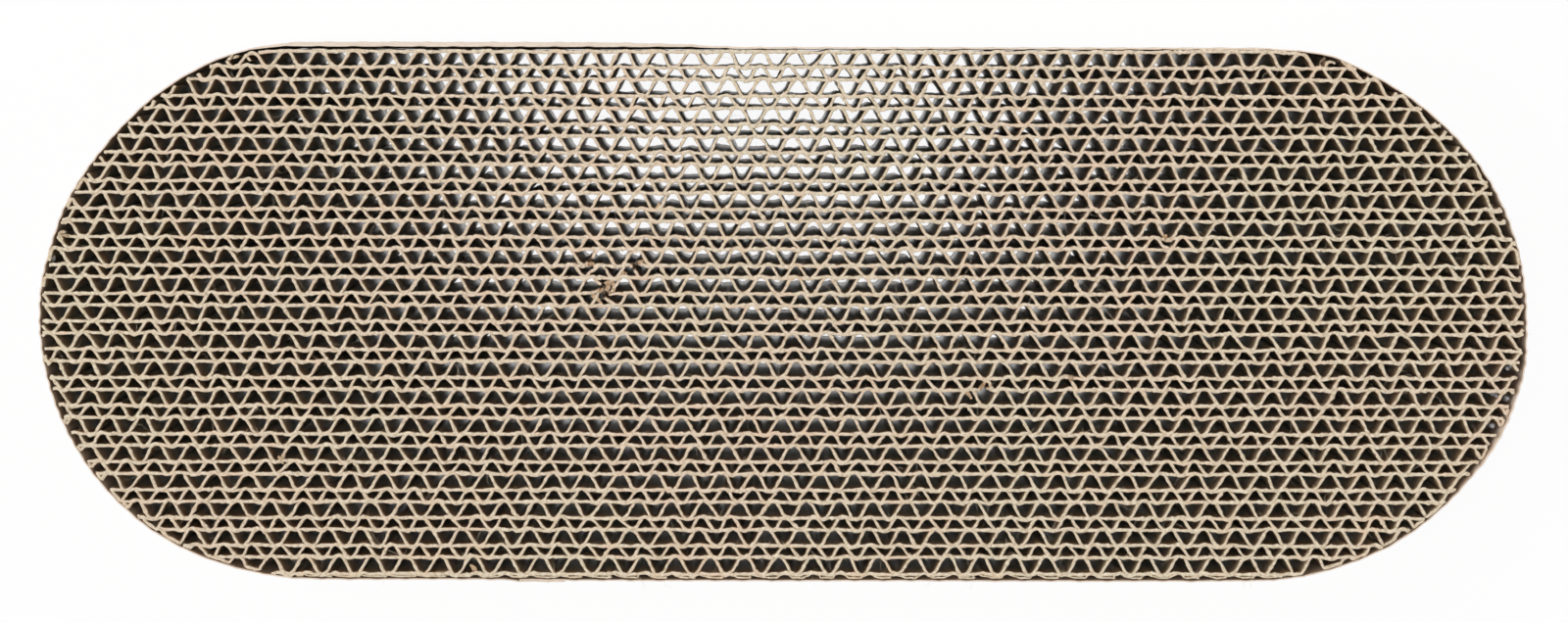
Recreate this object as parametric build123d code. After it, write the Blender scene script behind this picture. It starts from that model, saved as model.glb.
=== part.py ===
from build123d import *
import os
from math import atan2, ceil, cos

# A capsule-shaped scratching pad: strips of fluted board glued face to face and set on edge, so that
# every flute runs upright and both broad faces show open flute ends. A paper band goes round the side.
# X runs along the strips, Y across them and Z up the flutes. The origin is the middle of the underside.
# Lengths are in millimetres.

# The pad as a whole
pad_length = 343.0
pad_height = 45.0

# The paper of the strips
strip_count = 19
liner_thickness = 0.5
medium_thickness = 0.4
glue_gap = 0.03

# Each strip has a row of large flutes and a row of small ones. The last row is crushed against the band.
large_flute_height = 3.3
large_flute_pitch = 7.8
small_flute_height = 2.2
small_flute_pitch = 6.5
crushed_flute_height = 1.2

# A drawn fold is this many flutes long, and each row starts this share of a fold after the row before.
flutes_per_fold = 2.25
row_stagger_share = 0.37

# The paper band and its lapped seam, which stands on the front side left of the middle
wrap_thickness = 0.3
wrap_clearance = 0.1
seam_overlap = 14.0
seam_offset = 57.5
seam_ramp_share = 0.25

# What follows from those sizes
strip_pitch = 2 * liner_thickness + large_flute_height + small_flute_height
stack_width = strip_count * strip_pitch - small_flute_height + crushed_flute_height
wrap_allowance = wrap_clearance + wrap_thickness
stack_length = pad_length - 2 * wrap_allowance
stack_middle = wrap_thickness / 2
stack_back = stack_middle + stack_width / 2
stack_outline = Pos(0, stack_middle) * SlotOverall(stack_length, stack_width)


def upright_sheet(section):
    """One sheet of a strip: its section trimmed to the pad's outline, less loose corners, and raised."""
    trimmed = (section & stack_outline).faces().sort_by(SortBy.AREA)
    return extrude(trimmed[-1], amount=pad_height, dir=Axis.Z.direction)


def flat_liner(middle):
    """A flat sheet whose middle lies at this Y."""
    return upright_sheet(Pos(0, middle) * Rectangle(stack_length, liner_thickness))


def fluted_medium(middle, height, flute_pitch, row):
    """A sheet folded to and fro between two liners, a glue gap short of each."""
    half_fold = flutes_per_fold * flute_pitch / 2
    lean = atan2(height - medium_thickness, half_fold)
    half_sheet = medium_thickness / cos(lean) / 2
    crest = height / 2 - glue_gap - half_sheet
    start = (row * row_stagger_share % 1 - 2) * half_fold * 2 - stack_length / 2
    turns = ceil(-2 * start / half_fold)
    places = [(start + turn * half_fold, crest * (-1) ** turn) for turn in range(turns)]
    back = [(x, middle + y + half_sheet) for x, y in places]
    front = [(x, middle + y - half_sheet) for x, y in places]
    return upright_sheet(Polygon(*front, *reversed(back), align=None))


def strip(number):
    """The liners, the large-flute medium and the small-flute medium of one strip, from the back."""
    back = stack_back - (number - 1) * strip_pitch
    large_back = back - liner_thickness
    inner_back = large_back - large_flute_height
    small_back = inner_back - liner_thickness
    last_height = crushed_flute_height if number == strip_count else small_flute_height
    outer_liner = flat_liner(back - liner_thickness / 2)
    inner_liner = flat_liner(inner_back - liner_thickness / 2)
    large_middle = large_back - large_flute_height / 2
    small_middle = small_back - last_height / 2
    return {
        "liners": Compound([outer_liner.solid(), inner_liner.solid()]),
        "large_flute": fluted_medium(large_middle, large_flute_height, large_flute_pitch, 2 * number),
        "small_flute": fluted_medium(small_middle, last_height, small_flute_pitch, 2 * number + 1),
    }


def side_wrap():
    """The paper band round the stack, with one end lapped over the other on the front side."""
    inside = SlotOverall(stack_length + 2 * wrap_clearance, stack_width + 2 * wrap_clearance)
    outside = SlotOverall(pad_length, stack_width + 2 * wrap_allowance)
    front = -stack_width / 2 - wrap_allowance
    ramp_end = -seam_offset - seam_overlap / 2
    free_end = ramp_end + seam_overlap
    lap_start = ramp_end + seam_ramp_share * seam_overlap
    lap_front = front - wrap_thickness
    lap_corners = [(ramp_end, front), (lap_start, lap_front), (free_end, lap_front), (free_end, front)]
    band = outside - inside + Polygon(*lap_corners, align=None)
    return extrude(Pos(0, stack_middle) * band, amount=pad_height, dir=Axis.Z.direction)


nodes = {"side_wrap": side_wrap()}
for number in range(1, strip_count + 1):
    for sheet, shape in strip(number).items():
        nodes[f"strip_{number:02d}_{sheet}"] = shape

os.makedirs("parts", exist_ok=True)
for name, shape in nodes.items():
    export_step(shape, f"parts/{name}.step")
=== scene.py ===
import math

import bpy
import numpy as np
from mathutils import Matrix, Vector


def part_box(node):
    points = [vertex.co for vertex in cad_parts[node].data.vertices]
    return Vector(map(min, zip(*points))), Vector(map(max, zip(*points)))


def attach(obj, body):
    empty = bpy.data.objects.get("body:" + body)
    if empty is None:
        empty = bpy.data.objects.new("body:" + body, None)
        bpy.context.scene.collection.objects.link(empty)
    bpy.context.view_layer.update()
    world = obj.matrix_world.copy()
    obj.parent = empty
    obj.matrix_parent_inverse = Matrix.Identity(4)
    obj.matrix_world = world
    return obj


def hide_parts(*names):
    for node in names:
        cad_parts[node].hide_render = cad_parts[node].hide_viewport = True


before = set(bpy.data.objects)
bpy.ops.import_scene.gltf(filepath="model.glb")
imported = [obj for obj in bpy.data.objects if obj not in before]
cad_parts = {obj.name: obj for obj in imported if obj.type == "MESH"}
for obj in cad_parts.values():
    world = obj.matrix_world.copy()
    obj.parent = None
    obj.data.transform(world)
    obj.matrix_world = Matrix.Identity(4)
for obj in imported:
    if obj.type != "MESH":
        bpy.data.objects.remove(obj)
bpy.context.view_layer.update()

# A scratching pad of fluted board strips on edge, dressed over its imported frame. Lengths are in metres.
# X runs along the strips, Y across them towards the back, and Z up the flutes.
# Each strip, from the back: an outer liner, a large-flute medium, an inner liner, a small-flute medium.
# A name that ends in NOISE holds the step and the size of a random variation along a sheet or a row.
SEED = 19

# The view, read from the photograph, whose pixels are counted from its top left corner
PHOTO_WIDTH = 1600
PIXEL = 0.000226
FRAME_PIXEL = (800.0, 317.5)
PAD_PIXEL = (799.5, 322.9)
LENS_PIXEL = (762.0, 20.0)
LENS_HEIGHT = 1.08
SENSOR_MILLIMETRES = 36.0
ROLL_DEGREES = 0.1

# The paper: flute pitches, and how thick a sheet is in its wall and at its swollen cut edges
LARGE_PITCH = 0.0078
SMALL_PITCH = 0.0065
LINER_WALL = 0.00038
MEDIUM_WALL = 0.00052
LINER_CUT = 0.00080
MEDIUM_CUT = 0.00074
CRUSHED_CUT = 0.00040

# How far a medium's middle lies from the middle of the liner that its crests or its troughs are glued to
CREST_BOND = 0.00002
TROUGH_BOND = 0.00018

# A flute's section, in quarter pitches: the slope of its straight legs and the radius of its tips
LEG_SLOPE = 1.78
TIP_RADIUS = 0.87

# How finely the sheets are drawn, the shortest stretch that is kept, and which edges stay sharp
SPARE_FLUTES = 2
SAMPLES_PER_FLUTE = 24
LINER_STEP = 0.0004
SHORTEST_RUN = 0.0014
SHARP_DEGREES = 50

# The levels of a cut edge: depths below the top face and heights above the bottom face
CROWN = 0.00006
BURR_DEPTH = 0.00022
EDGE_DEPTH = 0.0008
FLARE_DEPTH = 0.0016

# The swelling of a cut edge, in shares of its thickness, with nubs where a noise passes NUB_START
SWELL_SHARE = 0.97
WIDE_SWELL_NOISE = (0.0011, 0.09)
FINE_SWELL_NOISE = (0.00045, 0.10)
NUB_NOISE = (0.0005, 0.5)
NUB_START = 0.5
NUB_LIMIT = 0.5
TOP_SHARE = 0.72
FOOT_SHARE = 0.85

# How a cut edge strays up and sideways, and how the sheet strays below it, which eases near the outline
RAGGED_NOISE = (0.0007, 0.00009)
WIDE_EDGE_NOISE = (0.0009, 0.00004)
FINE_EDGE_NOISE = (0.00045, 0.00004)
MIDDLE_NOISE = (0.004, 0.00016)
FOOT_NOISE = (0.003, 0.00016)
OUTLINE_EASE = 0.004
HELD_SHARE = 0.2

# How the sheets depart from true, and how far their ends may stop short of the outline
WASHBOARD = 0.00030
SAG = 0.00022
SAG_EASE = 0.012
LINER_NOISE = (0.012, 0.00005)
LEFT_TRIM = (0.0, 0.0002)
RIGHT_TRIM = (0.0, 0.0003)

# How the flutes vary along a row: steps and slips are in flutes, heights are shares, and a lean is a length
SLOW_SLIP_NOISE = (9.0, 0.06)
QUICK_SLIP_NOISE = (1.0, 0.012)
HEIGHT_SHARE = 1.02
HEIGHT_NOISE = (1.5, 0.05)
LEAN = 0.00010
LEAN_STEP = 2.0

# The crushed front row: a liner pushed forward, and low flutes folded over, furthest on a flat stretch in X
FRONT_CRUSH = 0.0002
FOLD_REACH = (-0.0006, 0.0018)
FLAT_FOLD = 0.0024
FLAT_STRETCH = (-0.124, -0.078)
FOLDED_SHARE = 0.8
FOLDED_NOISE = (1.5, 0.2)
LOWEST_FOLDED_SHARE = 0.3

# Where the outline departs from straight sides and true half circles. Each row gives the end, the angle from
# that end's own axis towards the back, in degrees and carried on along the sides, the spread of the departure
# in degrees, and how far the outline stands out there.
LEFT = -1
RIGHT = 1
OUTLINE_SHAPE = [
    (LEFT, 76, 9, 0.0005),
    (LEFT, 40, 18, -0.0012),
    (LEFT, 16, 8, -0.0005),
    (LEFT, -76, 16, -0.00065),
    (LEFT, -118, 26, -0.0003),
    (RIGHT, 75, 6, 0.0006),
    (RIGHT, 52, 20, -0.0006),
    (RIGHT, -18, 16, 0.0006),
    (RIGHT, -74, 14, -0.0003),
]

# The outermost liner at the back is bent round with the outline and torn off at these places in X. It hangs a
# little slack, but past SNUG_START in X it fills the clearance between the stack and the band.
BENT_LINER = (-0.121, 0.1195)
BACK_SLACK = 0.0003
SNUG_START = 0.085
SNUG_EASE = 0.010
WRAP_CLEARANCE = 0.00012

# Damaged places. Each row gives a pixel of the photograph, the reach of the damage, how far a liner is bent
# back or forward to the left and to the right of it, and the width of the tear in the sheets.
DAMAGE = [
    ((602, 270), 0.0016, (0.0004, -0.0002), 0.0009),
    ((617, 297), 0.0020, (0.0012, 0.0001), 0.0016),
    ((648, 269), 0.0013, (-0.0001, 0.0009), 0.0012),
    ((1004, 397), 0.0014, (0.0000, 0.0008), 0.0010),
    ((1092, 386), 0.0012, (0.0004, 0.0003), 0.0),
    ((288, 470), 0.0014, (0.0004, 0.0004), 0.0),
    ((1190, 243), 0.0012, (-0.0004, -0.0004), 0.0),
    ((66, 241), 0.0016, (0.0003, 0.0003), 0.0),
    ((1362, 61), 0.0004, (0.0, 0.0), 0.0078),
]
TEAR_REACH = 0.0013
TEAR_DEPTH = 0.0080
HARM_DEPTH = 0.0018
HARM_FLATTENING = 0.75
CRUMPLE_NOISE = (0.25, 0.5)
CRUMPLE_SHIFT_NOISE = (0.3, 0.0008)

rng = np.random.default_rng(SEED)


def photo_point(pixel):
    """Where a pixel of the photograph lies on the pad's top face."""
    return ((pixel[0] - PAD_PIXEL[0]) * PIXEL, (PAD_PIXEL[1] - pixel[1]) * PIXEL)


def noise_along(places, step, size):
    """Smooth random values at the places, which vary over about one step."""
    low = places.min() - step
    knots = rng.normal(0, size, int((places.max() - low) / step) + 3)
    at = (places - low) / step
    index = at.astype(int)
    part = at - index
    part = part * part * (3 - 2 * part)
    return knots[index] * (1 - part) + knots[index + 1] * part


def bell(places, middle, reach, power=2):
    """1 at the middle, falling smoothly past the reach to nothing. A higher power makes it flatter on top."""
    return np.exp(-(((places - middle) / reach) ** power))


# Where the sheets lie, from the frame
strip_names = sorted(name.removesuffix("_liners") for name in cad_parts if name.endswith("_liners"))
boxes = {name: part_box(name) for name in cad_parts}
pad_top = boxes["side_wrap"][1].z
first_liners = boxes[f"{strip_names[0]}_liners"]
last_small = boxes[f"{strip_names[-1]}_small_flute"]
stack_middle = (first_liners[1].y + last_small[0].y) / 2
stack_radius = (first_liners[1].y - last_small[0].y) / 2
stack_reach = max(boxes[f"{name}_liners"][1].x for name in strip_names)
stack_straight = stack_reach - stack_radius
damage_places = [(*photo_point(pixel), reach, bends, tear) for pixel, reach, bends, tear in DAMAGE]


def sag(y):
    """How far the glued stack hangs forward of its even places at this Y: nothing at its edges."""
    return SAG * min((stack_radius - abs(y - stack_middle)) / SAG_EASE, 1)


def harm(x, y):
    """0 on sound paper and up to 1 at a damaged place."""
    worst = np.zeros_like(x)
    for place_x, place_y, reach, _, _ in damage_places:
        worst = np.maximum(worst, np.exp(-(((x - place_x) / reach) ** 2) - ((y - place_y) / reach) ** 2))
    return worst


def kinks(x, y):
    """How far a liner at this Y is bent beside each damaged place."""
    total = np.zeros_like(x)
    for place_x, place_y, reach, (left, right), _ in damage_places:
        if abs(y - place_y) < TEAR_REACH:
            total += np.where(x < place_x, left, right) * np.exp(-abs(x - place_x) / reach)
    return total


def torn(x, y):
    """Whether each place lies in a tear."""
    gone = np.zeros(len(x), bool)
    for place_x, place_y, _, _, tear in damage_places:
        gone |= (abs(x - place_x) < tear / 2) & (abs(y - place_y) < TEAR_REACH)
    return gone


def rounded(zigzag):
    """A zigzag between -1 and 1 drawn as straight legs joined by arcs. Lengths are quarter pitches."""
    lean = math.hypot(1, LEG_SLOPE)
    arc_reach = TIP_RADIUS * LEG_SLOPE / lean
    from_tip = 1 - abs(zigzag)
    arc_drop = TIP_RADIUS - np.sqrt(TIP_RADIUS**2 - np.minimum(from_tip, arc_reach) ** 2)
    leg_drop = LEG_SLOPE * np.maximum(from_tip - arc_reach, 0)
    half_height = TIP_RADIUS + LEG_SLOPE - TIP_RADIUS * lean
    return np.sign(zigzag) * (1 - (arc_drop + leg_drop) / half_height)


class Flutes:
    """One row of flutes: its wave, and where the wave is at each X."""

    def __init__(self, node, pitch, crushed=False):
        low, high = boxes[node]
        self.node = node
        self.middle = (low.y + high.y) / 2
        half_count = stack_reach / pitch + SPARE_FLUTES
        self.turn = np.arange(-half_count, half_count, 1 / SAMPLES_PER_FLUTE)
        slip = noise_along(self.turn, *SLOW_SLIP_NOISE) + noise_along(self.turn, *QUICK_SLIP_NOISE)
        self.x = pitch * (self.turn + rng.uniform(0, 1) + slip)
        self.lean = rng.normal(0, LEAN) + noise_along(self.turn, LEAN_STEP, LEAN / 2)
        uneven = HEIGHT_SHARE + noise_along(self.turn, *HEIGHT_NOISE)
        zigzag = 2 / math.pi * np.arcsin(np.sin(2 * math.pi * self.turn))
        self.wave = uneven * rounded(zigzag)
        if crushed:
            self.fold_over()

    def fold_over(self):
        """Lay the flutes over on their sides, so that the sheet doubles back on itself."""
        amount = rng.uniform(*FOLD_REACH, len(self.turn))
        amount = np.repeat(amount[::SAMPLES_PER_FLUTE], SAMPLES_PER_FLUTE)[: len(self.turn)]
        flat = (self.x > FLAT_STRETCH[0]) & (self.x < FLAT_STRETCH[1])
        self.lean = -np.where(flat, FLAT_FOLD, amount)
        uneven = FOLDED_SHARE + noise_along(self.turn, *FOLDED_NOISE)
        self.wave = self.wave * np.clip(uneven, LOWEST_FOLDED_SHARE, 1)

    def touch(self, x, side):
        """1 where the crests on that side press on the liner at X, falling to 0 between them."""
        wave = np.interp(x, self.x, np.sin(2 * math.pi * self.turn))
        return np.clip(side * wave, 0, 1) ** 2


def departure(x, y):
    """How far the outline stands out, near these places, from straight sides and true half circles."""
    beyond = np.maximum(abs(x) - stack_straight, 0)
    short = np.maximum(stack_straight - abs(x), 0)
    off_middle = y - stack_middle
    angle = np.degrees(np.arctan2(off_middle, beyond) + np.sign(off_middle) * short / stack_radius)
    total = np.zeros_like(angle)
    for end, place, spread, amount in OUTLINE_SHAPE:
        total += amount * bell(angle, place, spread) * (x * end > 0)
    return total


def room(x, y):
    """How far these places lie inside the pad's outline."""
    beyond = np.maximum(abs(x) - stack_straight, 0)
    return stack_radius + departure(x, y) - np.hypot(beyond, y - stack_middle)


def half_width(x, y):
    """How far the outline reaches from the middle line at each X, on the side where Y lies."""
    beyond = np.maximum(abs(x) - stack_straight, 0)
    return np.sqrt(np.maximum((stack_radius + departure(x, y)) ** 2 - beyond**2, 0))


def runs_inside(x, y):
    """The index ranges of a sheet's stretches inside the pad's outline, a little short at the ends."""
    trim = np.where(x > 0, rng.uniform(*RIGHT_TRIM), rng.uniform(*LEFT_TRIM))
    kept = room(x + np.sign(x) * trim, y) > 0
    edges = np.flatnonzero(np.diff(np.concatenate([[0], kept, [0]])))
    for start, end in zip(edges[::2], edges[1::2]):
        if np.hypot(np.diff(x[start:end]), np.diff(y[start:end])).sum() > SHORTEST_RUN:
            yield slice(start, end)


class Shell:
    """Vertices and faces gathered for one mesh."""

    def __init__(self):
        self.points = []
        self.faces = []
        self.count = 0

    def tubes(self, rings):
        """Closed skins over many tubes at once, by tube, ring, point of the ring and axis."""
        tubes, along, around = rings.shape[:3]
        base = self.count + np.arange(tubes)[:, None, None] * along * around
        first = base + np.arange(along - 1)[None, :, None] * around
        here = np.arange(around)[None, None, :]
        after = (here + 1) % around
        second = first + around
        quads = np.stack([first + here, first + after, second + after, second + here], -1)
        start = base[:, :, 0] + np.arange(around)[::-1]
        end = base[:, :, 0] + (along - 1) * around + np.arange(around)
        self.points.append(rings.reshape(-1, 3))
        self.faces += [quads.reshape(-1, 4), start, end]
        self.count += tubes * along * around

    def piece(self, name, material, sharp_degrees=SHARP_DEGREES):
        """The mesh as an object, smooth but for edges that bend by more than the sharp angle."""
        points = np.concatenate(self.points)
        mesh = bpy.data.meshes.new(name)
        corners = np.concatenate([faces.ravel() for faces in self.faces]).astype(np.int32)
        sizes = np.concatenate([np.full(len(faces), faces.shape[1]) for faces in self.faces])
        starts = np.concatenate([[0], np.cumsum(sizes)[:-1]]).astype(np.int32)
        mesh.vertices.add(len(points))
        mesh.vertices.foreach_set("co", points.ravel())
        mesh.loops.add(len(corners))
        mesh.loops.foreach_set("vertex_index", corners)
        mesh.polygons.add(len(sizes))
        mesh.polygons.foreach_set("loop_start", starts)
        mesh.update(calc_edges=True)
        mesh.validate()
        mesh.shade_smooth()
        mesh.set_sharp_from_angle(angle=math.radians(sharp_degrees))
        mesh.materials.append(material)
        piece = bpy.data.objects.new(name, mesh)
        bpy.context.scene.collection.objects.link(piece)
        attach(piece, "root")
        return piece


# Points along every cut edge, each with its half thickness as a sideways step, for the fibres to root in
edge_places = []


def raise_sheet(shell, x, y, wall, cut):
    """An upright sheet along a centre line, with swollen, ragged cut edges at the top and bottom."""
    forward = np.stack([np.gradient(x), np.gradient(y)], -1)
    forward /= np.linalg.norm(forward, axis=1)[:, None]
    side = np.stack([-forward[:, 1], forward[:, 0]], -1)
    along = np.concatenate([[0], np.cumsum(np.hypot(np.diff(x), np.diff(y)))])
    nubs = np.clip(noise_along(along, *NUB_NOISE) - NUB_START, 0, NUB_LIMIT)
    uneven = SWELL_SHARE + noise_along(along, *WIDE_SWELL_NOISE) + noise_along(along, *FINE_SWELL_NOISE)
    swell = cut * (uneven + nubs)
    top = pad_top - CROWN + noise_along(along, *RAGGED_NOISE)
    top -= HARM_DEPTH * harm(x, y) * rng.uniform(0, 1, len(x))
    top -= TEAR_DEPTH * torn(x, y)
    wander = noise_along(along, *WIDE_EDGE_NOISE) + noise_along(along, *FINE_EDGE_NOISE)
    free = np.clip(room(x, y) / OUTLINE_EASE - HELD_SHARE, 0, 1)
    middle_wander = free * noise_along(along, *MIDDLE_NOISE)
    foot_wander = free * noise_along(along, *FOOT_NOISE)
    levels = [
        (CROWN, wall + free * (FOOT_SHARE * swell - wall), foot_wander),
        (FLARE_DEPTH, wall, foot_wander),
        (pad_top / 2, wall, middle_wander),
        (top - FLARE_DEPTH, wall, 0),
        (top - BURR_DEPTH, swell, wander),
        (top, TOP_SHARE * swell, wander),
    ]
    middle = np.stack([x, y], -1)
    left, right = [], []
    for height, thickness, shift in levels:
        for sign, flank in ((1, left), (-1, right)):
            out = np.broadcast_to(shift + sign * thickness / 2, x.shape)
            place = middle + side * out[:, None]
            flank.append(np.column_stack([place, np.broadcast_to(height, x.shape)]))
    ridge = np.column_stack([middle + side * wander[:, None], top + CROWN])
    keel = np.column_stack([middle + side * foot_wander[:, None], np.zeros(len(x))])
    rings = np.stack([keel, *left, ridge, *right[::-1]], 1)
    shell.tubes(rings[None])
    edge_places.append(np.column_stack([ridge, side * (swell / 2)[:, None]]))


def bent_round(x, y):
    """The outermost liner at the back: bent to the outline, slack or snug, and torn off at both ends."""
    snug = np.clip((x - SNUG_START) / SNUG_EASE, 0, 1)
    y += departure(x, y) - BACK_SLACK * (1 - snug)
    y = np.minimum(y, stack_middle + half_width(x, y) + WRAP_CLEARANCE * snug - LINER_CUT / 2)
    kept = (x >= BENT_LINER[0]) & (x <= BENT_LINER[1])
    return x[kept], y[kept]


def liner_line(middle, above, below):
    """The centre line of a liner: its sag, kinks, and the press of the flute crests on its two sides."""
    x = np.arange(-stack_reach, stack_reach, LINER_STEP)
    y = middle - sag(middle) + kinks(x, middle) + noise_along(x, *LINER_NOISE)
    if above:
        y -= WASHBOARD * above.touch(x, -1)
    y += WASHBOARD * below.touch(x, 1)
    return (x, y) if above else bent_round(x, y)


def medium_line(flutes, liner_above, liner_below):
    """The centre line of a medium, its crests flat on one liner and its troughs round on the other."""
    high = np.interp(flutes.x, *liner_above) - CREST_BOND
    low = np.interp(flutes.x, *liner_below) + TROUGH_BOND
    hurt = harm(flutes.x, np.full_like(flutes.x, flutes.middle))
    shape = flutes.wave * (1 - HARM_FLATTENING * hurt) + hurt * noise_along(flutes.turn, *CRUMPLE_NOISE)
    shape = np.clip(shape, -1, 1)
    x = flutes.x + flutes.lean * flutes.wave + hurt * noise_along(flutes.turn, *CRUMPLE_SHIFT_NOISE)
    y = (high + low) / 2 + (high - low) / 2 * shape
    limit = half_width(x, y) - MEDIUM_CUT / 2
    pressed = np.clip(y, stack_middle - limit, stack_middle + limit)
    # The band presses the ends of the rows in. The outer rows at the back are cut off at the outline instead.
    outer_back = flutes.middle >= stack_middle + stack_radius / 2
    inner = low if flutes.middle > stack_middle else high
    reached = abs(inner - stack_middle) < limit
    return x, np.where(reached & (not outer_back), pressed, y)


def upright(node, lines, wall, cut, material):
    """One piece of standing sheets, in place of its CAD node."""
    shell = Shell()
    for x, y in lines:
        for run in runs_inside(x, y):
            raise_sheet(shell, x[run], y[run], wall, cut)
    piece = shell.piece(f"{node}_paper", material)
    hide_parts(node)


# Material helpers


def new_material(name):
    """An empty node material and its Principled shader."""
    material = bpy.data.materials.new(name)
    material.use_nodes = True
    tree = material.node_tree
    return material, tree, tree.nodes["Principled BSDF"]


def noise(tree, vector, grain, detail=4.0, roughness=0.6):
    """A noise pattern's value, with a grain in features to the metre."""
    node = tree.nodes.new("ShaderNodeTexNoise")
    node.inputs["Scale"].default_value = grain
    node.inputs["Detail"].default_value = detail
    node.inputs["Roughness"].default_value = roughness
    tree.links.new(vector, node.inputs["Vector"])
    return node.outputs["Fac"]


def stretched(tree, vector, z_scale):
    """A place with its height scaled, for patterns that run up or along a sheet."""
    node = tree.nodes.new("ShaderNodeMapping")
    node.inputs["Scale"].default_value = (1, 1, z_scale)
    tree.links.new(vector, node.inputs["Vector"])
    return node.outputs["Vector"]


def remap(tree, value, low, high, to_low=0.0, to_high=1.0):
    """A value eased from one range to another, and held at its ends."""
    node = tree.nodes.new("ShaderNodeMapRange")
    node.interpolation_type = "SMOOTHSTEP"
    for name, number in (("From Min", low), ("From Max", high), ("To Min", to_low), ("To Max", to_high)):
        node.inputs[name].default_value = number
    tree.links.new(value, node.inputs["Value"])
    return node.outputs["Result"]


def mix_colour(tree, factor, first, second):
    """Two colours or colour outputs mixed by a value."""
    node = tree.nodes.new("ShaderNodeMix")
    node.data_type = "RGBA"
    tree.links.new(factor, node.inputs["Factor"])
    for socket, colour in ((node.inputs["A"], first), (node.inputs["B"], second)):
        if isinstance(colour, tuple):
            socket.default_value = (*colour, 1)
        else:
            tree.links.new(colour, socket)
    return node.outputs["Result"]


def multiply_colour(tree, first, second):
    """Two colour outputs multiplied."""
    node = tree.nodes.new("ShaderNodeMix")
    node.data_type = "RGBA"
    node.blend_type = "MULTIPLY"
    node.inputs["Factor"].default_value = 1
    tree.links.new(first, node.inputs["A"])
    tree.links.new(second, node.inputs["B"])
    return node.outputs["Result"]


def arithmetic(tree, operation, first, second=None):
    """One step of arithmetic on a value and a second one, which may be a number or left out."""
    node = tree.nodes.new("ShaderNodeMath")
    node.operation = operation
    tree.links.new(first, node.inputs[0])
    if isinstance(second, (int, float)):
        node.inputs[1].default_value = second
    elif second is not None:
        tree.links.new(second, node.inputs[1])
    return node.outputs[0]


def bump(tree, height, strength, distance):
    """A normal roughened by a height pattern."""
    node = tree.nodes.new("ShaderNodeBump")
    node.inputs["Strength"].default_value = strength
    node.inputs["Distance"].default_value = distance
    tree.links.new(height, node.inputs["Height"])
    return node.outputs["Normal"]


# How a screen encodes light
SCREEN_LEVELS = 255
SCREEN_OFFSET = 0.055
SCREEN_POWER = 2.4


def linear(red, green, blue):
    """A colour as seen on a screen, 0 to 255 but not near black, as the light that it stands for."""
    shares = [channel / SCREEN_LEVELS for channel in (red, green, blue)]
    return tuple(((share + SCREEN_OFFSET) / (1 + SCREEN_OFFSET)) ** SCREEN_POWER for share in shares)


# Board paper: its roughness low in the cells, higher up and at the cut, and where that and its colours change
LINER_GLAZE = 0.34
MEDIUM_GLAZE = 0.27
HAIRY_ROUGHNESS = 0.55
CUT_ROUGHNESS = 0.9
GLAZED_HEIGHT = 0.004
HAIRY_HEIGHT = 0.032
CUT_START_DEPTH = 0.0016
CUT_FULL_DEPTH = 0.0004
SHALLOW_WALL = 0.004
DEEP_WALL = 0.016
# The pale grey of the walls deep in the cells, away from both faces, is painted light: a painted glow of the
# white floor below.
DEEP_PAINTED_LIGHT_COLOUR = linear(228, 222, 212)
WARM_TINT = (1.0, 0.955, 0.92)
COOL_TINT = (0.975, 0.985, 0.93)

# The grain of its patterns, in features to the metre
FINE_GRAIN = 1200
BLOTCH_GRAIN = 330
BLUSH_GRAIN = 210
TINT_GRAIN = 16
STREAK_GRAIN = 2600
STREAK_SCALE = 0.04

# Where each pattern's noise sets in and is full, and for some what it runs from and to
# The mottling of the cut edges is partly the fibre's random tone and partly painted shade of the fibres and
# burrs, carried by the darker cut colour and the dark blotches.
PALE_FIBRE_AND_SHADE = (0.32, 0.6)
DARK_BLOTCH_AND_SHADE = (0.55, 0.8, 0, 0.5)
BLUSH_PATCH = (0.5, 0.68, 0, 0.6)
TINT_PATCH = (0.3, 0.7)
WALL_BLOTCH = (0.3, 0.7)
FRAYED_EDGE = (0.2, 0.8, -0.0003, 0.0003)


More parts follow.
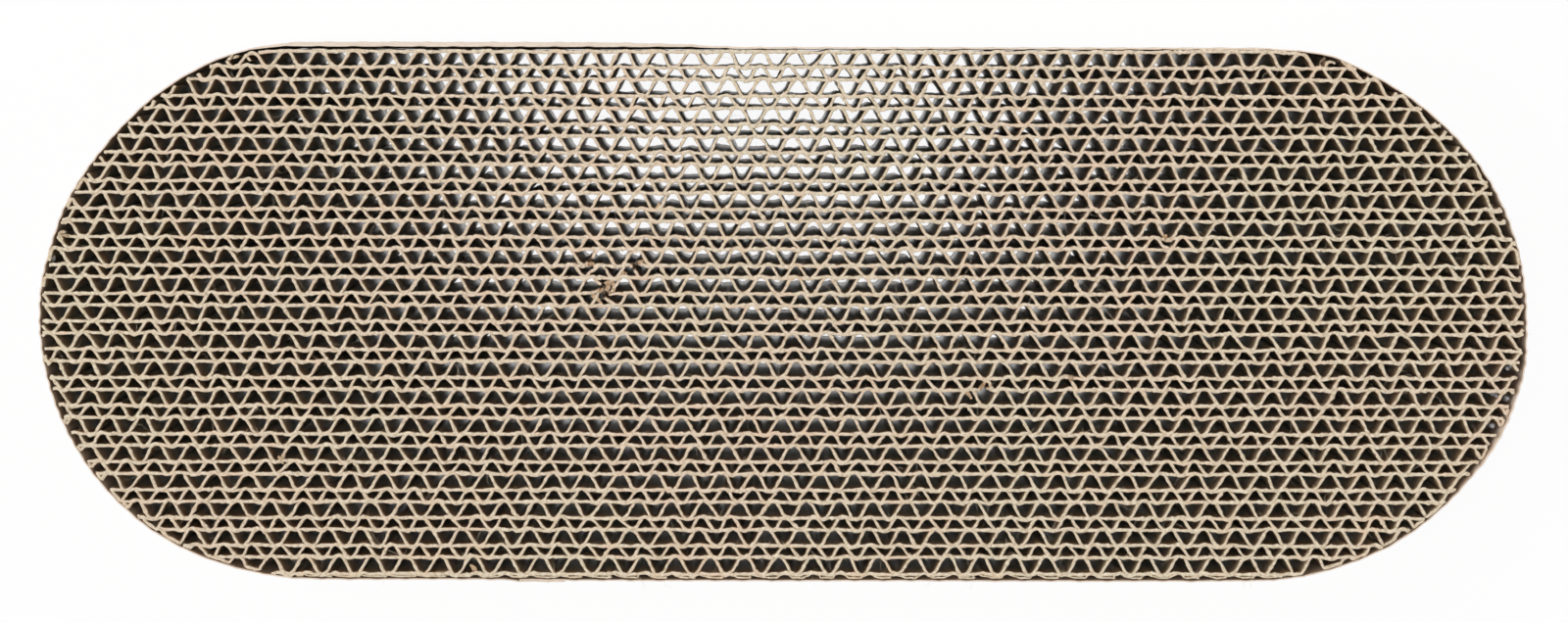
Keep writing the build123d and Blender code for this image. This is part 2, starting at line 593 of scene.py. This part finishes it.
def paper_material(name, glaze, wall, wall_dark, cut, cut_dark_and_shade, blush):
    """Board paper: smooth brown walls that turn pale grey deep in the cells as painted light, and pale,
    rough, mottled fibre where the saw has cut it, its mottling partly painted shade.
    """
    material, tree, shader = new_material(name)
    place = tree.nodes.new("ShaderNodeTexCoord").outputs["Object"]
    axes = tree.nodes.new("ShaderNodeSeparateXYZ")
    tree.links.new(place, axes.inputs[0])
    half = pad_top / 2
    height = arithmetic(tree, "ABSOLUTE", arithmetic(tree, "SUBTRACT", axes.outputs["Z"], half))
    fine = noise(tree, place, FINE_GRAIN, detail=6, roughness=0.7)
    blotch = noise(tree, place, BLOTCH_GRAIN, detail=3)
    blushes = noise(tree, place, BLUSH_GRAIN, detail=2)
    wide = noise(tree, place, TINT_GRAIN, detail=2)
    frayed = arithmetic(tree, "ADD", height, remap(tree, blotch, *FRAYED_EDGE))
    edge = remap(tree, frayed, half - CUT_START_DEPTH, half - CUT_FULL_DEPTH)
    # Mottled cut edge: the fibre's random tone together with painted shade of the fibres and burrs, in the
    # darker cut colour.
    cut_colour = mix_colour(tree, remap(tree, fine, *PALE_FIBRE_AND_SHADE), cut_dark_and_shade, cut)
    cut_colour = mix_colour(tree, remap(tree, blotch, *DARK_BLOTCH_AND_SHADE), cut_colour, cut_dark_and_shade)
    cut_colour = mix_colour(tree, remap(tree, blushes, *BLUSH_PATCH), cut_colour, blush)
    wall_colour = mix_colour(tree, remap(tree, blotch, *WALL_BLOTCH), wall, wall_dark)
    # Painted light: deep in the cells, away from both faces, the wall colour turns to a pale grey glow.
    inside = remap(tree, height, half - DEEP_WALL, half - SHALLOW_WALL, 1, 0)
    wall_colour = mix_colour(tree, inside, wall_colour, DEEP_PAINTED_LIGHT_COLOUR)
    colour = mix_colour(tree, edge, wall_colour, cut_colour)
    tint = mix_colour(tree, remap(tree, wide, *TINT_PATCH), WARM_TINT, COOL_TINT)
    tree.links.new(multiply_colour(tree, colour, tint), shader.inputs["Base Color"])
    smooth = remap(tree, axes.outputs["Z"], GLAZED_HEIGHT, HAIRY_HEIGHT, glaze, HAIRY_ROUGHNESS)
    rough = arithmetic(tree, "MAXIMUM", smooth, arithmetic(tree, "MULTIPLY", edge, CUT_ROUGHNESS))
    tree.links.new(rough, shader.inputs["Roughness"])
    streaks = noise(tree, stretched(tree, place, STREAK_SCALE), STREAK_GRAIN, detail=3)
    relief = arithmetic(tree, "ADD", arithmetic(tree, "MULTIPLY", fine, edge), streaks)
    tree.links.new(bump(tree, relief, strength=0.35, distance=0.00012), shader.inputs["Normal"])
    return material


# The band's kraft paper, its grains and patterns given in the same way
WRAP_FIBRE_GRAIN = 420
WRAP_FIBRE_SCALE = 5
WRAP_FINE_GRAIN = 2600
WRAP_CLOUD_GRAIN = 45
WRAP_FLECK_GRAIN = 900
WRAP_FIBRE = (0.3, 0.7)
WRAP_CLOUD = (0.35, 0.7, 0, 0.45)
WRAP_FLECK = (0.68, 0.75, 0, 0.55)
WRAP_ROUGHNESS = (0.2, 0.8, 0.6, 0.74)
WRAP_DARK = linear(223, 202, 181)
WRAP_PALE = linear(242, 227, 211)
WRAP_CLOUD_COLOUR = linear(230, 208, 186)
WRAP_FLECK_COLOUR = linear(196, 168, 138)


def wrap_material():
    """Thin kraft paper, calendered smooth, with long faint fibres and a few darker flecks."""
    material, tree, shader = new_material("wrap_paper")
    place = tree.nodes.new("ShaderNodeTexCoord").outputs["Object"]
    long_place = stretched(tree, place, WRAP_FIBRE_SCALE)
    strands = noise(tree, long_place, WRAP_FIBRE_GRAIN, detail=6, roughness=0.65)
    fine = noise(tree, place, WRAP_FINE_GRAIN)
    cloud = noise(tree, place, WRAP_CLOUD_GRAIN, detail=3)
    flecks = noise(tree, place, WRAP_FLECK_GRAIN, detail=2)
    colour = mix_colour(tree, remap(tree, strands, *WRAP_FIBRE), WRAP_DARK, WRAP_PALE)
    colour = mix_colour(tree, remap(tree, cloud, *WRAP_CLOUD), colour, WRAP_CLOUD_COLOUR)
    colour = mix_colour(tree, remap(tree, flecks, *WRAP_FLECK), colour, WRAP_FLECK_COLOUR)
    tree.links.new(colour, shader.inputs["Base Color"])
    tree.links.new(remap(tree, strands, *WRAP_ROUGHNESS), shader.inputs["Roughness"])
    tree.links.new(bump(tree, fine, strength=0.25, distance=0.00008), shader.inputs["Normal"])
    return material


# Hot-melt glue
GLUE_GRAIN = 900
GLUE_CLOUD = (0.3, 0.7)
GLUE_ROUGHNESS = (0.3, 0.7, 0.08, 0.22)
GLUE_DARK = linear(206, 210, 218)
GLUE_PALE = linear(228, 230, 234)


def glue_material():
    """Hot-melt glue: clear and a little milky, with a rippled gloss."""
    material, tree, shader = new_material("clear_glue")
    place = tree.nodes.new("ShaderNodeTexCoord").outputs["Object"]
    cloud = noise(tree, place, GLUE_GRAIN, detail=3)
    colour = mix_colour(tree, remap(tree, cloud, *GLUE_CLOUD), GLUE_DARK, GLUE_PALE)
    tree.links.new(colour, shader.inputs["Base Color"])
    tree.links.new(remap(tree, cloud, *GLUE_ROUGHNESS), shader.inputs["Roughness"])
    tree.links.new(bump(tree, cloud, strength=0.3, distance=0.0002), shader.inputs["Normal"])
    shader.inputs["Transmission Weight"].default_value = 0.6
    shader.inputs["IOR"].default_value = 1.48
    return material


# Each paper's darker cut colour is partly painted shade of the fibres and burrs on the cut edges.
liner_paper = paper_material(
    name="liner_paper",
    glaze=LINER_GLAZE,
    wall=linear(212, 188, 158),
    wall_dark=linear(196, 170, 138),
    cut=linear(235, 222, 203),
    cut_dark_and_shade=linear(196, 176, 149),
    blush=linear(230, 204, 180),
)
medium_paper = paper_material(
    name="medium_paper",
    glaze=MEDIUM_GLAZE,
    wall=linear(208, 184, 153),
    wall_dark=linear(192, 165, 132),
    cut=linear(234, 219, 199),
    cut_dark_and_shade=linear(190, 169, 141),
    blush=linear(226, 203, 176),
)
torn_paper = paper_material(
    name="torn_paper",
    glaze=MEDIUM_GLAZE,
    wall=linear(190, 160, 126),
    wall_dark=linear(160, 130, 98),
    cut=linear(206, 180, 149),
    cut_dark_and_shade=linear(162, 134, 105),
    blush=linear(192, 160, 128),
)
wrap_paper = wrap_material()
clear_glue = glue_material()

# The flute rows come first, because each liner takes its ripple from the rows that press on it
rows = []
for strip_name in strip_names:
    rows.append(Flutes(f"{strip_name}_large_flute", LARGE_PITCH))
    rows.append(Flutes(f"{strip_name}_small_flute", SMALL_PITCH, crushed=strip_name == strip_names[-1]))

# The liners, one behind each row, and at the front the face that the last row leans on
liners = []
above = None
for index, below in enumerate(rows):
    strip_box = boxes[f"{strip_names[index // 2]}_liners"]
    if index % 2 == 0:
        liner_middle = (strip_box[1].y + boxes[below.node][1].y) / 2
    else:
        liner_middle = (strip_box[0].y + boxes[above.node][0].y) / 2
    if below is rows[-1]:
        liner_middle -= FRONT_CRUSH
    liners.append(liner_line(liner_middle, above, below))
    above = below
front_face = np.array([-stack_reach, stack_reach]), np.full(2, last_small[0].y - LINER_WALL / 2)
liners.append(front_face)

# The strips
for number, strip_name in enumerate(strip_names):
    large, small = rows[2 * number : 2 * number + 2]
    outer, inner, following = liners[2 * number : 2 * number + 3]
    upright(f"{strip_name}_liners", [outer, inner], LINER_WALL, LINER_CUT, liner_paper)
    large_line = medium_line(large, outer, inner)
    small_line = medium_line(small, inner, following)
    small_cut = CRUSHED_CUT if small is rows[-1] else MEDIUM_CUT
    upright(large.node, [large_line], MEDIUM_WALL, MEDIUM_CUT, medium_paper)
    upright(small.node, [small_line], MEDIUM_WALL, small_cut, medium_paper)

# Loose fibres on the cut edges: short fuzz, longer hairs and a few strays
FUZZ_COUNT = 20000
FUZZ_LENGTH = (0.0003, 0.0010)
FUZZ_RADIUS = 0.000045
HAIR_COUNT = 1500
HAIR_LENGTH = (0.0012, 0.0050)
HAIR_RADIUS = 0.000040
STRAY_COUNT = 14
STRAY_LENGTH = (0.010, 0.022)

# How a fibre grows: slopes are in radians, and it stands over the top face by FIBRE_OVERTOP at most
LOW_FIBRE_SHARE = 0.15
ROOT_SPREAD_SHARE = 0.8
FIBRE_SIDES = 3
FIBRE_SLOPE = (-0.35, 0.25)
FIBRE_DROOP = -0.1
FIBRE_TAPER_SHARE = 0.75
FIBRE_OVERTOP = 0.00009


def fibres(shell, count, lengths, radius, rings, curl):
    """Tapered, curling fibres rooted at random along the cut edges, most of them on the top face."""
    places = np.concatenate(edge_places)
    roots = places[rng.integers(0, len(places), count)]
    sideways = roots[:, 3:5] * rng.uniform(-ROOT_SPREAD_SHARE, ROOT_SPREAD_SHARE, count)[:, None]
    place = roots[:, :3] + np.column_stack([sideways, np.zeros(count)])
    low = rng.uniform(0, 1, count) < LOW_FIBRE_SHARE
    place[:, 2] = np.where(low, EDGE_DEPTH, place[:, 2] - BURR_DEPTH)
    heading = rng.uniform(0, 2 * math.pi, count)
    rise = rng.uniform(*FIBRE_SLOPE, count)
    heading_turn = rng.normal(0, curl, count)
    rise_turn = rng.normal(FIBRE_DROOP, curl / 2, count)
    length = np.exp(rng.uniform(*np.log(lengths), count))
    corners = np.arange(FIBRE_SIDES)[:, None] * 2 * math.pi / FIBRE_SIDES
    skins = []
    for ring in range(rings):
        share = ring / (rings - 1)
        angle = heading + heading_turn * share
        slope = rise + rise_turn * share
        level = np.cos(slope)
        ahead = np.column_stack([np.cos(angle) * level, np.sin(angle) * level, np.sin(slope)])
        across = np.column_stack([-np.sin(angle), np.cos(angle), np.zeros(count)])
        over = np.cross(ahead, across)
        around = across[:, None] * np.cos(corners) + over[:, None] * np.sin(corners)
        girth = radius * (1 - FIBRE_TAPER_SHARE * share)
        skins.append(place[:, None] + girth * around)
        place = place + ahead * (length / (rings - 1))[:, None]
        place[:, 2] = np.clip(place[:, 2], HAIR_RADIUS, pad_top + FIBRE_OVERTOP)
    shell.tubes(np.stack(skins, 1))


def edge_fibres():
    """Short fuzz as one piece, and the longer hairs as another."""
    fuzz = Shell()
    fibres(fuzz, FUZZ_COUNT, FUZZ_LENGTH, FUZZ_RADIUS, rings=2, curl=0.8)
    fuzz.piece("edge_fuzz", medium_paper)
    hairs = Shell()
    fibres(hairs, HAIR_COUNT, HAIR_LENGTH, HAIR_RADIUS, rings=7, curl=1.6)
    fibres(hairs, STRAY_COUNT, STRAY_LENGTH, HAIR_RADIUS, rings=16, curl=1.2)
    hairs.piece("edge_hairs", medium_paper)


edge_fibres()

# Torn scraps and loose flute ends on the cut face. Each row gives the pixel that it starts from, its heading
# and its turn in degrees, anticlockwise, its length, and how deep it stands.
SHALLOW = 0.0030
DEEP = 0.042
SCRAPS = [
    ((618, 298), 58, 15, 0.0028, SHALLOW),
    ((623, 287), -60, -20, 0.0028, SHALLOW),
    ((617, 291), 40, -50, 0.0018, SHALLOW),
    ((609, 298), 30, 15, 0.0018, SHALLOW),
    ((603, 301), -40, -10, 0.0034, SHALLOW),
    ((600, 272), 60, -100, 0.0018, SHALLOW),
    ((651, 270), 60, -60, 0.0016, SHALLOW),
    ((640, 281), 150, 10, 0.0018, SHALLOW),
    ((1000, 398), 45, 20, 0.0022, SHALLOW),
    ((986, 400), -40, -20, 0.0024, SHALLOW),
    ((897, 474), 90, -150, 0.0020, SHALLOW),
    ((286, 475), 50, 110, 0.0022, SHALLOW),
    ((484, 586), 95, 80, 0.0024, SHALLOW),
    ((1189, 246), 120, -80, 0.0018, SHALLOW),
    ((668, 215), 30, 60, 0.0022, SHALLOW),
]
LOOSE_ENDS = [
    ((233, 63), 20, 60, 0.0022, DEEP),
    ((241, 62), 75, -90, 0.0014, DEEP),
    ((251, 56), -60, 15, 0.0022, DEEP),
    ((66, 246), 150, -60, 0.0022, SHALLOW),
    ((62, 240), 60, -80, 0.0016, SHALLOW),
    ((1352, 68), 95, -140, 0.0030, DEEP),
    ((1379, 67), 172, -20, 0.0030, DEEP),
]

# How a scrap is cut: its noises step along it in shares of its length
SCRAP_STEP = 0.0002
SCRAP_WIDTH = 0.00085
LOOSE_WIDTH = 0.00065
SCRAP_SUNK = 0.0004
SCRAP_ROOT_SHARE = 1.1
SCRAP_TAPER_SHARE = 0.5
SCRAP_RISE_SHARE = 0.3
SCRAP_HEADING_NOISE = (0.25, 0.2)
SCRAP_WIDTH_NOISE = (0.1, 0.12)
SCRAP_TOP_NOISE = (0.12, 0.00015)


def scrap(shell, width, pixel, heading, turn, length, depth):
    """A narrow strip of paper on edge along a curling path, ragged on top and tapered to its loose end."""
    share = np.linspace(0, 1, int(length / SCRAP_STEP))
    angle = np.radians(heading + turn * share) + noise_along(share, *SCRAP_HEADING_NOISE)
    ahead = np.stack([np.cos(angle), np.sin(angle)], -1)
    side = np.stack([-np.sin(angle), np.cos(angle)], -1)
    middle = photo_point(pixel) + np.cumsum(ahead, 0) * SCRAP_STEP
    taper = SCRAP_ROOT_SHARE - SCRAP_TAPER_SHARE * share**2
    half = width / 2 * (taper + noise_along(share, *SCRAP_WIDTH_NOISE))
    top = pad_top - BURR_DEPTH - rng.uniform(0, SCRAP_SUNK) + noise_along(share, *SCRAP_TOP_NOISE)
    foot = np.maximum(top - depth * (1 - SCRAP_RISE_SHARE * share), CROWN)
    levels = [(foot, 0 * half), (foot + CROWN, half), (top - CROWN, half), (top, 0 * half)]
    left = [np.column_stack([middle + side * out[:, None], height]) for height, out in levels]
    right = [np.column_stack([middle - side * out[:, None], height]) for height, out in levels[2:0:-1]]
    shell.tubes(np.stack([*left, *right], 1)[None])


def scraps(name, material, width, table):
    """Several scraps of one width as one piece."""
    shell = Shell()
    for pixel, heading, turn, length, depth in table:
        scrap(shell, width, pixel, heading, turn, length, depth)
    shell.piece(name, material)


scraps("torn_scraps", torn_paper, SCRAP_WIDTH, SCRAPS)
scraps("loose_flute_ends", medium_paper, LOOSE_WIDTH, LOOSE_ENDS)

# Clear hot-melt beads between the strip ends and the band: a pixel, the width and the height of each
BEADS = [
    ((1526, 402), 0.0011, 0.0030),
    ((1530, 404), 0.0010, 0.0026),
    ((1541, 407), 0.0014, 0.0034),
    ((1526, 435), 0.0014, 0.0030),
    ((1545, 373), 0.0012, 0.0026),
    ((1541, 376), 0.0010, 0.0022),
    ((54, 265), 0.0013, 0.0028),
]

# How a bead is drawn: its rings stop short of the poles, and it ripples up its height and round its girth
BEAD_SIDES = 16
BEAD_RINGS = 22
BEAD_POLE_SHARE = 0.03
BEAD_RIPPLES = 5
BEAD_RIPPLE_SHARE = 0.15
BEAD_LOBES = 3
BEAD_LOBE_SHARE = 0.08
BEAD_PHASE = 6


def glue_beads():
    """Rippled drops of glue, a little below the cut face, as one piece."""
    shell = Shell()
    around = np.linspace(0, 2 * math.pi, BEAD_SIDES, endpoint=False)
    level = np.linspace(BEAD_POLE_SHARE, 1 - BEAD_POLE_SHARE, BEAD_RINGS) * math.pi
    for pixel, width, height in BEADS:
        x, y = photo_point(pixel)
        middle = pad_top - EDGE_DEPTH - height / 2
        ripple = BEAD_RIPPLE_SHARE * np.sin(BEAD_RIPPLES * level + rng.uniform(0, BEAD_PHASE))
        lobe = BEAD_LOBE_SHARE * np.sin(BEAD_LOBES * around + rng.uniform(0, BEAD_PHASE))
        girth = width / 2 * np.sin(level) * (1 + ripple)
        girth = girth[:, None] * (1 + lobe)
        rise = np.broadcast_to((middle - height / 2 * np.cos(level))[:, None], girth.shape)
        rings = np.stack([x + girth * np.cos(around), y + girth * np.sin(around), rise], -1)
        shell.tubes(rings[None])
    shell.piece("glue_beads", clear_glue)


glue_beads()

# The paper band round the side
WRAP_THICKNESS = 0.0003
WRAP_BELOW_TOP = 0.0005
WRAP_ABOVE_FLOOR = 0.0002
WRAP_STEP = 0.00045
WRAP_LEVELS = 13
WRAP_SHARP_DEGREES = 40
WRAP_TOP_NOISE = (0.004, 0.00008)
WRAP_FINE_NOISE = (0.006, 0.00003)
WRAP_WIDE_NOISE = (0.03, 0.00006)
WRAP_LEAST_WAVE = 0.00004
wrap_radius = stack_radius + WRAP_CLEARANCE + WRAP_THICKNESS / 2

# Along the back the band is pressed in at its foot, stands off up to a place in X, and bows out at mid height
SIDE_POWER = 8
FOOT_POWER = 8
BACK_PRESS = 0.00046
BACK_GAP = 0.00040
BACK_GAP_END = -0.010
BACK_GAP_EASE = 0.012
BACK_BOW = 0.0007
BACK_BOW_MIDDLE = -0.075
BACK_BOW_REACH = 0.050
BACK_BOW_POWER = 6

# Round the right end the band gapes, and its top edge curls out, near these places in Y from the middle line
END_GAPE = 0.0005
END_GAPE_MIDDLE = -0.0118
END_GAPE_REACH = 0.0065
TOP_FLARE = 0.00060
TOP_FLARE_MIDDLE = -0.0275
TOP_FLARE_REACH = 0.010
TOP_FLARE_POWER = 60

# The lap on the front side, by distance from the middle of the front to the right. Its free corner lifts.
LAP_START = -0.061
LAP_FREE_END = -0.0505
LAP_RAMP = 0.0035
LAP_RISE_SHARE = 1.08
LAP_LIFT = 0.0009
LAP_LIFT_REACH = 0.006

# Faint ridges that the strips' ends and the flute crests press into the band
END_RIB = 0.00020
END_RIB_REACH = 0.0008
CREST_RIB = 0.00012


def outline(distance):
    """Points and outward directions on the band's middle line, from the front's middle to the right."""
    bend = math.pi * wrap_radius
    around = 4 * stack_straight + 2 * bend
    travel = (distance + stack_straight) % around
    right = np.clip(travel - 2 * stack_straight, 0, bend) / wrap_radius
    left = np.clip(travel - 4 * stack_straight - bend, 0, bend) / wrap_radius
    turn = right + left - math.pi / 2
    front = np.clip(travel, 0, 2 * stack_straight)
    back = np.clip(travel - 2 * stack_straight - bend, 0, 2 * stack_straight)
    x = front - back - stack_straight
    out = np.stack([np.cos(turn), np.sin(turn)], -1)
    return np.stack([x, np.full_like(x, stack_middle)], -1) + wrap_radius * out, out


def swelling(places, share):
    """How far the band stands off a true slot, at a share of its height."""
    x = places[:, 0]
    y = places[:, 1] - stack_middle
    foot = (1 - share) ** FOOT_POWER
    back = np.clip(y / wrap_radius, 0, 1) ** SIDE_POWER
    loose = BACK_GAP * np.clip((BACK_GAP_END - x) / BACK_GAP_EASE, 0, 1) * (1 - foot) - BACK_PRESS * foot
    bow = BACK_BOW * math.sin(math.pi * share) * bell(x, BACK_BOW_MIDDLE, BACK_BOW_REACH, BACK_BOW_POWER)
    gape = END_GAPE * bell(y, END_GAPE_MIDDLE, END_GAPE_REACH) * (x > 0)
    flare = TOP_FLARE * share**TOP_FLARE_POWER * (x > 0) * bell(y, TOP_FLARE_MIDDLE, TOP_FLARE_REACH)
    return departure(places[:, 0], places[:, 1]) + back * (loose + bow) + gape + flare


def ribs(places, out):
    """How far the strips' ends, and the flute crests along the sides, press ridges into the band."""
    x, y = places[:, 0], places[:, 1]
    ends = np.array([line_y.mean() for _, line_y in liners[1:-1]])
    nearest = abs(y[:, None] - ends).min(1)
    at_ends = END_RIB * bell(nearest, 0, END_RIB_REACH) * abs(out[:, 0])
    crests = np.where(y > stack_middle, rows[0].touch(x, 1), rows[-1].touch(x, -1))
    return at_ends + CREST_RIB * crests * abs(out[:, 1]) ** SIDE_POWER


def side_wrap():
    """The band as one long strip whose end laps over its start and lifts a little at its lower corner."""
    around = 4 * stack_straight + 2 * math.pi * wrap_radius
    distance = np.linspace(LAP_START, around + LAP_FREE_END, int(around / WRAP_STEP))
    places, out = outline(distance)
    ramp = np.clip((distance - around - LAP_START + LAP_RAMP) / LAP_RAMP, 0, 1)
    lap = ramp * (WRAP_THICKNESS * LAP_RISE_SHARE)
    free_end = np.clip(1 - (distance[-1] - distance) / LAP_LIFT_REACH, 0, 1) ** 2
    waves = noise_along(distance, *WRAP_FINE_NOISE) + noise_along(distance, *WRAP_WIDE_NOISE)
    top = pad_top - WRAP_BELOW_TOP + noise_along(distance, *WRAP_TOP_NOISE)
    inner, outer = [], []
    for share in 1 - np.linspace(1, 0, WRAP_LEVELS) ** 2:
        offset = lap + swelling(places, share) + ribs(places, out) + np.hypot(waves, WRAP_LEAST_WAVE)
        offset += LAP_LIFT * free_end * (1 - share) ** 2
        height = WRAP_ABOVE_FLOOR + share * (top - WRAP_ABOVE_FLOOR)
        for sign, flank in ((-1, inner), (1, outer)):
            place = places + out * (offset + sign * WRAP_THICKNESS / 2)[:, None]
            flank.append(np.column_stack([place, height]))
    shell = Shell()
    shell.tubes(np.stack([*outer, *inner[::-1]], 1)[None])
    piece = shell.piece("side_wrap_paper", wrap_paper, WRAP_SHARP_DEGREES)
    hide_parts("side_wrap")


side_wrap()

# The floor and the room
FLOOR_REACH = 6.0
FLOOR_WHITE = (0.9, 0.9, 0.9, 1)
FLOOR_ROUGHNESS = 0.9
FLOOR_GLOW_SHARE = 0.94
ROOM_LIGHT = 0.13

# The lamps, all aimed at the middle of the pad's top face: the place, the width and the power of each
LAMPS = {
    "key": ((-2.9, 0.4, 4.6), 3.6, 155),
    "fill": ((2.6, 0.2, 3.4), 2.0, 26),
    "back": ((0.2, 3.0, 0.75), 1.4, 36),
    "front": ((-0.6, -3.0, 0.75), 1.4, 24),
    "above": ((0, 0.12, 1.7), 0.4, 5.6),
}


def floor():
    """A white floor: it glows white to the eye and in gloss, and still takes the pad's shadow."""
    mesh = bpy.data.meshes.new("floor")
    far = FLOOR_REACH
    corners = [(-far, -far, 0), (far, -far, 0), (far, far, 0), (-far, far, 0)]
    mesh.from_pydata(corners, [], [(0, 1, 2, 3)])
    material, tree, shader = new_material("floor_white")
    shader.inputs["Base Color"].default_value = FLOOR_WHITE
    shader.inputs["Roughness"].default_value = FLOOR_ROUGHNESS
    path = tree.nodes.new("ShaderNodeLightPath")
    seen = arithmetic(tree, "MAXIMUM", path.outputs["Is Camera Ray"], path.outputs["Is Glossy Ray"])
    seen = arithmetic(tree, "MAXIMUM", seen, path.outputs["Is Transmission Ray"])
    share = arithmetic(tree, "MULTIPLY", seen, FLOOR_GLOW_SHARE)
    glow = tree.nodes.new("ShaderNodeEmission")
    mix = tree.nodes.new("ShaderNodeMixShader")
    tree.links.new(share, mix.inputs["Fac"])
    tree.links.new(shader.outputs["BSDF"], mix.inputs[1])
    tree.links.new(glow.outputs["Emission"], mix.inputs[2])
    tree.links.new(mix.outputs["Shader"], tree.nodes["Material Output"].inputs["Surface"])
    mesh.materials.append(material)
    piece = bpy.data.objects.new("floor", mesh)
    bpy.context.scene.collection.objects.link(piece)


def area_light(name, place, target, size, power):
    """A square soft lamp aimed at a point."""
    data = bpy.data.lights.new(name, "AREA")
    data.size = size
    data.energy = power
    lamp = bpy.data.objects.new(name, data)
    lamp.location = place
    lamp.rotation_euler = (Vector(target) - Vector(place)).to_track_quat("-Z", "Y").to_euler()
    bpy.context.scene.collection.objects.link(lamp)


def lights():
    """An even white room, with a large soft lamp from the left and weaker ones around and above."""
    world = bpy.data.worlds.new("room")
    world.use_nodes = True
    tree = world.node_tree
    background = tree.nodes["Background"]
    path = tree.nodes.new("ShaderNodeLightPath")
    strength = remap(tree, path.outputs["Is Camera Ray"], 0, 1, ROOM_LIGHT, 1)
    background.inputs["Color"].default_value = (1, 1, 1, 1)
    tree.links.new(strength, background.inputs["Strength"])
    bpy.context.scene.world = world
    for name, (place, size, power) in LAMPS.items():
        area_light(name, place, (0, 0, pad_top), size, power)


def camera():
    """The photograph's view: nearly straight down, from above the back edge."""
    lens_x, lens_y = photo_point(LENS_PIXEL)
    aim_x, aim_y = photo_point(FRAME_PIXEL)
    place = Vector((lens_x, lens_y, pad_top + LENS_HEIGHT))
    sight = Vector((aim_x, aim_y, pad_top)) - place
    data = bpy.data.cameras.new("camera")
    data.sensor_width = SENSOR_MILLIMETRES
    data.lens = SENSOR_MILLIMETRES * sight.length / (PHOTO_WIDTH * PIXEL)
    eye = bpy.data.objects.new("camera", data)
    back = -sight.normalized()
    right = Vector((0, 1, 0)).cross(back).normalized()
    turn = Matrix((right, back.cross(right), back)).transposed().to_4x4()
    roll = Matrix.Rotation(math.radians(ROLL_DEGREES), 4, "Z")
    eye.matrix_world = Matrix.Translation(place) @ turn @ roll
    bpy.context.scene.collection.objects.link(eye)
    bpy.context.scene.camera = eye


floor()
lights()
camera()
bpy.context.scene.view_settings.view_transform = "Standard"
